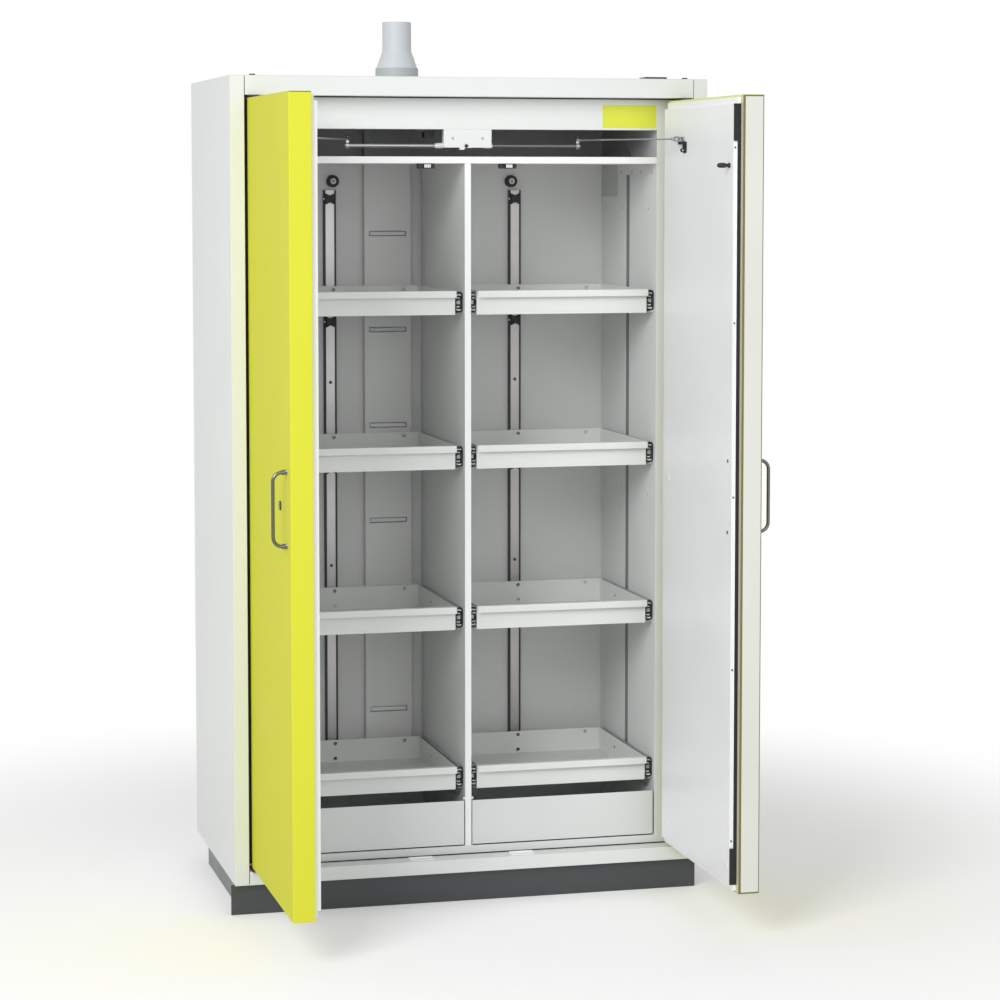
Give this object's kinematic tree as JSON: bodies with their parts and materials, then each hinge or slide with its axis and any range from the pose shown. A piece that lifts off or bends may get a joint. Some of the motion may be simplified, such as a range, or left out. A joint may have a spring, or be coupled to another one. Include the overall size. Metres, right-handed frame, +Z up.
{
  "type": "flammable safety cabinet",
  "caption": "Fire-resistant storage cabinet with yellow hinged doors, pull-out trays on telescopic slides, sump trays, an extraction duct and a roof exhaust collar.",
  "frame": {"origin": "on the floor, at the centre of the casing's footprint", "axes": "+X to the right seen from the front, -Y towards the front, +Z up"},
  "size_m": [1.1525, 1.1183, 2.096],
  "materials": {
    "casing_paint": "satin",
    "door_paint": "satin",
    "inner_paint": "satin",
    "tray_paint": "satin",
    "plinth_paint": "satin",
    "plinth_frame_paint": "satin",
    "ceiling_board": "satin",
    "fire_board": "matte",
    "bright_steel": "satin",
    "chromed_bar": "polished",
    "black_steel": "satin",
    "collar_plastic": "satin",
    "black_plastic": "matte",
    "seal_rubber": "matte",
    "pale_strip": "matte",
    "blank_yellow": "satin"
  },
  "bodies": {
    "cabinet": {"side_panels": "casing_paint", "back_panel": "casing_paint", "top_panel": "casing_paint", "base_panel": "casing_paint", "top_fascia": "casing_paint", "door_frame": "casing_paint", "plinth_frame": "plinth_frame_paint", "plinth_front": "plinth_paint", "levelling_feet": "bright_steel", "inner_liner": "inner_paint", "side_wall_panels": "inner_paint", "ceiling_panel": "ceiling_board", "insulation_boards": "fire_board", "partition": "inner_paint", "air_duct": "inner_paint", "exhaust_collar": "collar_plastic", "rear_rails": "bright_steel", "rail_clips": "black_plastic", "sign_plate": "blank_yellow", "door_catches": "black_plastic", "closer_bracket": "casing_paint", "guide_rods": "bright_steel", "hinge_brackets": "black_steel", "fixed_slides": "black_steel"},
    "door_left": {"door_skin_left": "door_paint", "door_core_left": "fire_board", "door_liner_left": "casing_paint", "door_seal_left": "seal_rubber", "handle_left": "chromed_bar", "door_fittings_left": "black_plastic"},
    "lock_barrel": {"lock_barrel": "bright_steel"},
    "closer_arm_left": {"closer_arm_left": "bright_steel"},
    "closer_slider_left": {"closer_slider_left": "black_plastic"},
    "tray_left_1": {"tray_left_1": "tray_paint"},
    "slide_middle_left_1": {"slide_middle_left_1": "black_steel"},
    "tray_left_2": {"tray_left_2": "tray_paint"},
    "slide_middle_left_2": {"slide_middle_left_2": "black_steel"},
    "tray_left_3": {"tray_left_3": "tray_paint"},
    "slide_middle_left_3": {"slide_middle_left_3": "black_steel"},
    "tray_left_4": {"tray_left_4": "tray_paint"},
    "slide_middle_left_4": {"slide_middle_left_4": "black_steel"},
    "sump_left": {"sump_left": "tray_paint"},
    "door_right": {"door_skin_right": "door_paint", "door_core_right": "fire_board", "door_liner_right": "casing_paint", "door_seal_right": "seal_rubber", "handle_right": "chromed_bar", "door_fittings_right": "black_plastic", "door_end_strip_right": "pale_strip"},
    "closer_arm_right": {"closer_arm_right": "bright_steel"},
    "closer_slider_right": {"closer_slider_right": "black_plastic"},
    "tray_right_1": {"tray_right_1": "tray_paint"},
    "slide_middle_right_1": {"slide_middle_right_1": "black_steel"},
    "tray_right_2": {"tray_right_2": "tray_paint"},
    "slide_middle_right_2": {"slide_middle_right_2": "black_steel"},
    "tray_right_3": {"tray_right_3": "tray_paint"},
    "slide_middle_right_3": {"slide_middle_right_3": "black_steel"},
    "tray_right_4": {"tray_right_4": "tray_paint"},
    "slide_middle_right_4": {"slide_middle_right_4": "black_steel"},
    "sump_right": {"sump_right": "tray_paint"}
  },
  "joints": [
    {"name": "door_left_hinge", "type": "hinge", "parent": "cabinet", "child": "door_left", "pos_m": [-0.519, -0.3, 0.108], "axis": [0, 0, -1], "range_deg": [-90, 0]},
    {"name": "lock_turn", "type": "hinge", "parent": "door_left", "child": "lock_barrel", "pos_m": [-0.531, -0.695, 1.005], "axis": [-1, 0, 0], "range_deg": [0, 90]},
    {"name": "closer_arm_left_pivot", "type": "hinge", "parent": "door_left", "child": "closer_arm_left", "pos_m": [-0.45, -0.445, 1.808], "axis": [0, 0, -1], "range_deg": [0, 139.5]},
    {"name": "closer_slider_left_slide", "type": "slide", "parent": "cabinet", "child": "closer_slider_left", "axis": [-1, 0, 0], "range_m": [-0.2031, 0]},
    {"name": "tray_left_1_slide", "type": "slide", "parent": "cabinet", "child": "tray_left_1", "axis": [0, -1, 0], "range_m": [0, 0.38]},
    {"name": "slide_middle_left_1_slide", "type": "slide", "parent": "cabinet", "child": "slide_middle_left_1", "axis": [0, -1, 0], "range_m": [0, 0.19]},
    {"name": "tray_left_2_slide", "type": "slide", "parent": "cabinet", "child": "tray_left_2", "axis": [0, -1, 0], "range_m": [0, 0.38]},
    {"name": "slide_middle_left_2_slide", "type": "slide", "parent": "cabinet", "child": "slide_middle_left_2", "axis": [0, -1, 0], "range_m": [0, 0.19]},
    {"name": "tray_left_3_slide", "type": "slide", "parent": "cabinet", "child": "tray_left_3", "axis": [0, -1, 0], "range_m": [0, 0.38]},
    {"name": "slide_middle_left_3_slide", "type": "slide", "parent": "cabinet", "child": "slide_middle_left_3", "axis": [0, -1, 0], "range_m": [0, 0.19]},
    {"name": "tray_left_4_slide", "type": "slide", "parent": "cabinet", "child": "tray_left_4", "axis": [0, -1, 0], "range_m": [0, 0.38]},
    {"name": "slide_middle_left_4_slide", "type": "slide", "parent": "cabinet", "child": "slide_middle_left_4", "axis": [0, -1, 0], "range_m": [0, 0.19]},
    {"name": "sump_left_slide", "type": "slide", "parent": "cabinet", "child": "sump_left", "axis": [0, -1, 0], "range_m": [0, 0.4]},
    {"name": "door_right_hinge", "type": "hinge", "parent": "cabinet", "child": "door_right", "pos_m": [0.519, -0.3, 0.108], "axis": [0, 0, 1], "range_deg": [-90, 0]},
    {"name": "closer_arm_right_pivot", "type": "hinge", "parent": "door_right", "child": "closer_arm_right", "pos_m": [0.45, -0.445, 1.808], "axis": [0, 0, 1], "range_deg": [0, 139.5]},
    {"name": "closer_slider_right_slide", "type": "slide", "parent": "cabinet", "child": "closer_slider_right", "axis": [1, 0, 0], "range_m": [-0.2031, 0]},
    {"name": "tray_right_1_slide", "type": "slide", "parent": "cabinet", "child": "tray_right_1", "axis": [0, -1, 0], "range_m": [0, 0.38]},
    {"name": "slide_middle_right_1_slide", "type": "slide", "parent": "cabinet", "child": "slide_middle_right_1", "axis": [0, -1, 0], "range_m": [0, 0.19]},
    {"name": "tray_right_2_slide", "type": "slide", "parent": "cabinet", "child": "tray_right_2", "axis": [0, -1, 0], "range_m": [0, 0.38]},
    {"name": "slide_middle_right_2_slide", "type": "slide", "parent": "cabinet", "child": "slide_middle_right_2", "axis": [0, -1, 0], "range_m": [0, 0.19]},
    {"name": "tray_right_3_slide", "type": "slide", "parent": "cabinet", "child": "tray_right_3", "axis": [0, -1, 0], "range_m": [0, 0.38]},
    {"name": "slide_middle_right_3_slide", "type": "slide", "parent": "cabinet", "child": "slide_middle_right_3", "axis": [0, -1, 0], "range_m": [0, 0.19]},
    {"name": "tray_right_4_slide", "type": "slide", "parent": "cabinet", "child": "tray_right_4", "axis": [0, -1, 0], "range_m": [0, 0.38]},
    {"name": "slide_middle_right_4_slide", "type": "slide", "parent": "cabinet", "child": "slide_middle_right_4", "axis": [0, -1, 0], "range_m": [0, 0.19]},
    {"name": "sump_right_slide", "type": "slide", "parent": "cabinet", "child": "sump_right", "axis": [0, -1, 0], "range_m": [0, 0.4]}
  ],
  "couplings": [
    {"joint": "closer_arm_left_pivot", "follows": "door_left_hinge", "ratio": -1.5475},
    {"joint": "closer_slider_left_slide", "follows": "door_left_hinge", "m_per_rad": 0.12897},
    {"joint": "slide_middle_left_1_slide", "follows": "tray_left_1_slide", "ratio": 0.5},
    {"joint": "slide_middle_left_2_slide", "follows": "tray_left_2_slide", "ratio": 0.5},
    {"joint": "slide_middle_left_3_slide", "follows": "tray_left_3_slide", "ratio": 0.5},
    {"joint": "slide_middle_left_4_slide", "follows": "tray_left_4_slide", "ratio": 0.5},
    {"joint": "closer_arm_right_pivot", "follows": "door_right_hinge", "ratio": -1.5475},
    {"joint": "closer_slider_right_slide", "follows": "door_right_hinge", "m_per_rad": 0.12897},
    {"joint": "slide_middle_right_1_slide", "follows": "tray_right_1_slide", "ratio": 0.5},
    {"joint": "slide_middle_right_2_slide", "follows": "tray_right_2_slide", "ratio": 0.5},
    {"joint": "slide_middle_right_3_slide", "follows": "tray_right_3_slide", "ratio": 0.5},
    {"joint": "slide_middle_right_4_slide", "follows": "tray_right_4_slide", "ratio": 0.5}
  ]
}
